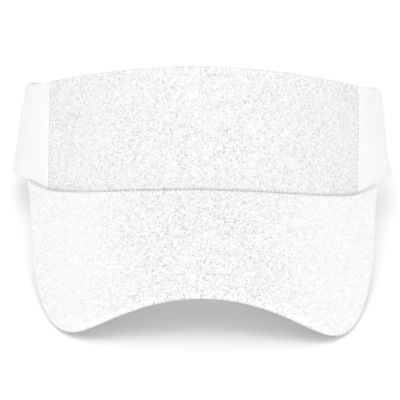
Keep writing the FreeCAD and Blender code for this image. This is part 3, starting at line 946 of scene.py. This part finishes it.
def strap_point(x, z, depth, sign):
    """A point of a strap: it follows the curved panel at its root and lies flat past it.
    x is measured from the middle towards the strap's own side."""
    curved = band(run_at_x(x), z, depth)
    flat = np.stack(np.broadcast_arrays(x, REAR_REACH - depth, z), -1)
    share = np.clip((x - STRAP_FLATTEN[0]) / STRAP_FLATTEN[1], 0, 1)[..., None]
    share = share * share * (3 - 2 * share)
    made = flat * (1 - share) + curved * share
    return made * [sign, 1, 1]


def strap_shape(name, x0, x1, depth, sign, rounded, inset=0.0, crown=0.12, flush=(False, False)):
    """A strap or patch between two distances across, its far corners rounded and its edges soft.
    flush says which of its two ends run straight on into another piece."""
    radius = STRAP_CORNER - inset
    low, high = STRAP_LOW + inset, STRAP_HIGH - inset
    span = abs(x1 - x0)
    along = np.concatenate([edge_steps(0.6, 4), steps(0.8, span - radius, 1.2),
                            span - radius + radius * np.sin(np.linspace(0, math.pi / 2, 12))[1:]])
    x = x0 + (x1 - x0) * along[:, None] / span
    cut = np.zeros_like(along)
    if rounded:
        past = np.clip(along - (span - radius), 0, radius)
        cut = radius - np.sqrt(radius ** 2 - past ** 2)
    half = (high - low) / 2 - cut[:, None]
    even = np.linspace(-1, 1, 25)
    z = (low + high) / 2 + half * (np.sin(even * math.pi / 2) * 0.25 + even * 0.75)
    x = np.broadcast_to(x, z.shape)
    from_start = FAR if flush[0] else along[:, None]
    from_end = FAR if flush[1] else span - along[:, None] + 0.01
    from_edge = np.minimum(half - np.abs(z - (low + high) / 2), np.minimum(from_start, from_end))
    thin = (depth[1] - depth[0]) / 2
    puff = thin * np.sqrt(np.clip(1 - (1 - np.clip(from_edge / STRAP_EDGE, 0, 1)) ** 2, 0.05, 1))
    middle = (depth[0] + depth[1]) / 2
    groove = crown * np.exp(-((from_edge - GROOVE_AT) / GROOVE_WIDTH) ** 2)
    outer = strap_point(x, z, middle - puff + groove, sign)
    inner = strap_point(x, z, middle + puff - groove, sign)
    return shell(name, outer, inner, np.stack([x, z], -1))


def rectangle_line(x0, x1, inset):
    """A closed rectangle of points (x, z) on a strap, inset from its two long edges."""
    z0, z1 = STRAP_LOW + inset, STRAP_HIGH - inset
    a, b = steps(x0, x1, 1.0), steps(z0, z1, 1.0)
    return np.concatenate([np.stack([a, np.full_like(a, z0)], -1),
                           np.stack([np.full_like(b, x1), b], -1),
                           np.stack([a[::-1], np.full_like(a, z1)], -1),
                           np.stack([np.full_like(b, x0), b[::-1]], -1)])


def strap_stitches(name, line, depth, sign, facing, body):
    """Stitches along (x, z) points on a strap's face."""
    x, z = line.T
    points = strap_point(x, z, np.full_like(x, depth), sign)
    ahead = strap_point(x, z, np.full_like(x, depth - facing), sign)
    row = stitch_row(name, points, ahead - points, pitch=2.4, length=1.9, thick=0.32)
    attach(row, body)


def make_loop_side():
    """The left strap, sewn inside its panel's end, with the loop patch on its outer face."""
    sign = -1.0
    strap = strap_shape("loop_strap_cloth", STRAP_START_X, -LOOP_TIP, LOOP_STRAP, sign, True)
    finish_piece(strap, COTTON, "cotton_cloth", "loop_strap")
    bend_strap(strap)
    patch = strap_shape("loop_patch_pile", LOOP_PATCH_X, -LOOP_TIP, (1.3, 2.5), sign, True,
                        inset=PATCH_INSET, crown=0.2)
    finish_piece(patch, PILE, "loop_tape", "loop_patch")
    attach(patch, "left_strap")
    edge = rectangle_line(LOOP_PATCH_X - 1.4, -LOOP_TIP + 5.0, PATCH_STITCH_INSET)
    strap_stitches("loop_patch_stitches", edge, 1.35, sign, 1, "left_strap")
    box = rectangle_line(ROOT_X, STRAP_START_X - 1.5, ROOT_INSET)
    strap_stitches("loop_strap_root_stitches", box, LOOP_STRAP[1], sign, -1, "left_arm")


def make_hook_side():
    """The right strap, sewn outside its panel's end, and the tab that peels off the loops."""
    sign, split = 1.0, 17.0
    strap = strap_shape("hook_strap_cloth", STRAP_START_X, split, HOOK_STRAP, sign, False,
                        flush=(False, True))
    finish_piece(strap, COTTON, "cotton_cloth", "hook_strap")
    bend_strap(strap)
    tab = strap_shape("hook_tab_cloth", split, HOOK_TIP, HOOK_STRAP, sign, True, flush=(True, False))
    finish_piece(tab, COTTON, "cotton_cloth", "hook_tab")
    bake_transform(tab)
    patch = strap_shape("hook_patch_tape", HOOK_PATCH_X, HOOK_TIP, (-0.35, 0.25), sign, True,
                        inset=PATCH_INSET, crown=0.0)
    finish_piece(patch, HOOKS, "hook_tape", "hook_patch")
    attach(patch, "hook_tab")
    make_hooks()
    edge = rectangle_line(HOOK_PATCH_X - 2.0, HOOK_TIP + 5.0, PATCH_STITCH_INSET)
    strap_stitches("hook_patch_stitches", edge, HOOK_STRAP[0], sign, 1, "hook_tab")
    box = rectangle_line(ROOT_X, STRAP_START_X - 1.5, ROOT_INSET)
    strap_stitches("hook_strap_root_stitches", box, HOOK_STRAP[0], sign, 1, "right_arm")


def make_hooks():
    """Rows of small nylon hooks on the tab's inner face."""
    vertices, faces = [], []
    for row, x in enumerate(steps(HOOK_PATCH_X - 2.5, HOOK_TIP + 4.5, HOOK_PITCH)):
        lean_to = 1 if row % 2 else -1
        for z in steps(STRAP_LOW + 4.5, STRAP_HIGH - 4.5, HOOK_PITCH):
            faces += tube_faces(len(vertices), len(HOOK_BEND), HOOK_SIDES)
            for along, out in HOOK_BEND:
                centre = np.array([x, REAR_REACH - 0.2 - out, z + lean_to * along])
                for a in range(HOOK_SIDES):
                    angle = 2 * math.pi * a / HOOK_SIDES
                    ring = np.array([math.cos(angle), 0.3 * math.sin(angle), math.sin(angle)])
                    vertices.append(centre + HOOK_RADIUS * ring)
    piece = mesh_object("hook_patch_hooks", np.array(vertices), faces)
    finish_piece(piece, HOOKS, "hook_tape")
    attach(piece, "hook_tab")


def finish_hidden_nodes():
    """The stiffener and the brim's board keep their own shape, and get their material."""
    for name, material in (("front_stiffener", BUCKRAM), ("brim_board", BOARD)):
        slots = frame["nodes"][name].data.materials
        slots.clear()
        slots.append(material)


# ---- floor, light and camera ----
FLOOR_SIZE, FLOOR_COLOUR, SKY = 6.0, (0.96, 0.96, 0.96), 0.94
LAMP_TARGET = Vector((0, 0, 0.03))


def make_stage():
    bpy.ops.mesh.primitive_plane_add(size=FLOOR_SIZE, location=(0, 0, 0))
    floor = bpy.context.object
    floor.name = "floor"
    floor.data.materials.append(Nodes("pale floor", FLOOR_COLOUR, 0.9, specular=0.0).material)
    world = bpy.data.worlds.new("studio")
    bpy.context.scene.world = world
    world.use_nodes = True
    background = world.node_tree.nodes["Background"]
    background.inputs["Color"].default_value = (1, 1, 1, 1)
    background.inputs["Strength"].default_value = SKY


def make_lamp(name, place, size, power):
    """A round lamp that looks at the visor; place and size in metres."""
    data = bpy.data.lights.new(name, "AREA")
    data.shape, data.size, data.energy = "DISK", size, power
    lamp = bpy.data.objects.new(name, data)
    bpy.context.scene.collection.objects.link(lamp)
    lamp.location = place
    lamp.rotation_mode = "QUATERNION"
    lamp.rotation_quaternion = (LAMP_TARGET - Vector(place)).to_track_quat("-Z", "Y")


def make_camera():
    above, turn, roll = (math.radians(a) for a in (CAMERA_ABOVE, CAMERA_ROUND, CAMERA_ROLL))
    level = math.cos(above)
    back = np.array([math.sin(turn) * level, -math.cos(turn) * level, math.sin(above)])
    right = np.array([math.cos(turn), math.sin(turn), 0.0])
    up = np.cross(back, right)
    target = np.array(CAMERA_TARGET)
    place = target + CAMERA_DISTANCE * back
    aim = target + CAMERA_OFFSET[0] * right + CAMERA_OFFSET[1] * up
    turned_right = right * math.cos(roll) + up * math.sin(roll)
    place_row, aim_row = to_row(place), to_row(aim)
    side_row = to_row(turned_right * MM_PER_M) - ORIGIN
    z_axis = place_row - aim_row
    z_axis /= np.linalg.norm(z_axis)
    x_axis = side_row - z_axis * side_row.dot(z_axis)
    x_axis /= np.linalg.norm(x_axis)
    y_axis = np.cross(z_axis, x_axis)
    data = bpy.data.cameras.new("camera")
    data.lens, data.sensor_width, data.clip_end = CAMERA_LENS, 36.0, 20.0
    camera = bpy.data.objects.new("camera", data)
    bpy.context.scene.collection.objects.link(camera)
    matrix = Matrix(((*x_axis, 0), (*y_axis, 0), (*z_axis, 0), (0, 0, 0, 1))).transposed()
    matrix.translation = Vector(place_row)
    camera.matrix_world = matrix
    bpy.context.scene.camera = camera


make_camera()
make_stage()
make_lamp("key", (-0.2, -0.9, 1.9), 1.2, 10.5)
make_lamp("front", (0.4, -1.9, 0.25), 0.9, 5.0)
bpy.context.scene.view_settings.view_transform = "Standard"

make_front_panel()
make_side_panels()
make_linings()
make_sweatband()
make_seam_tapes()
make_care_label()
make_brim()
make_brim_seam_stitches()
make_side_seam_stitches()
make_loop_side()
make_hook_side()
finish_hidden_nodes()

bpy.context.view_layer.update()
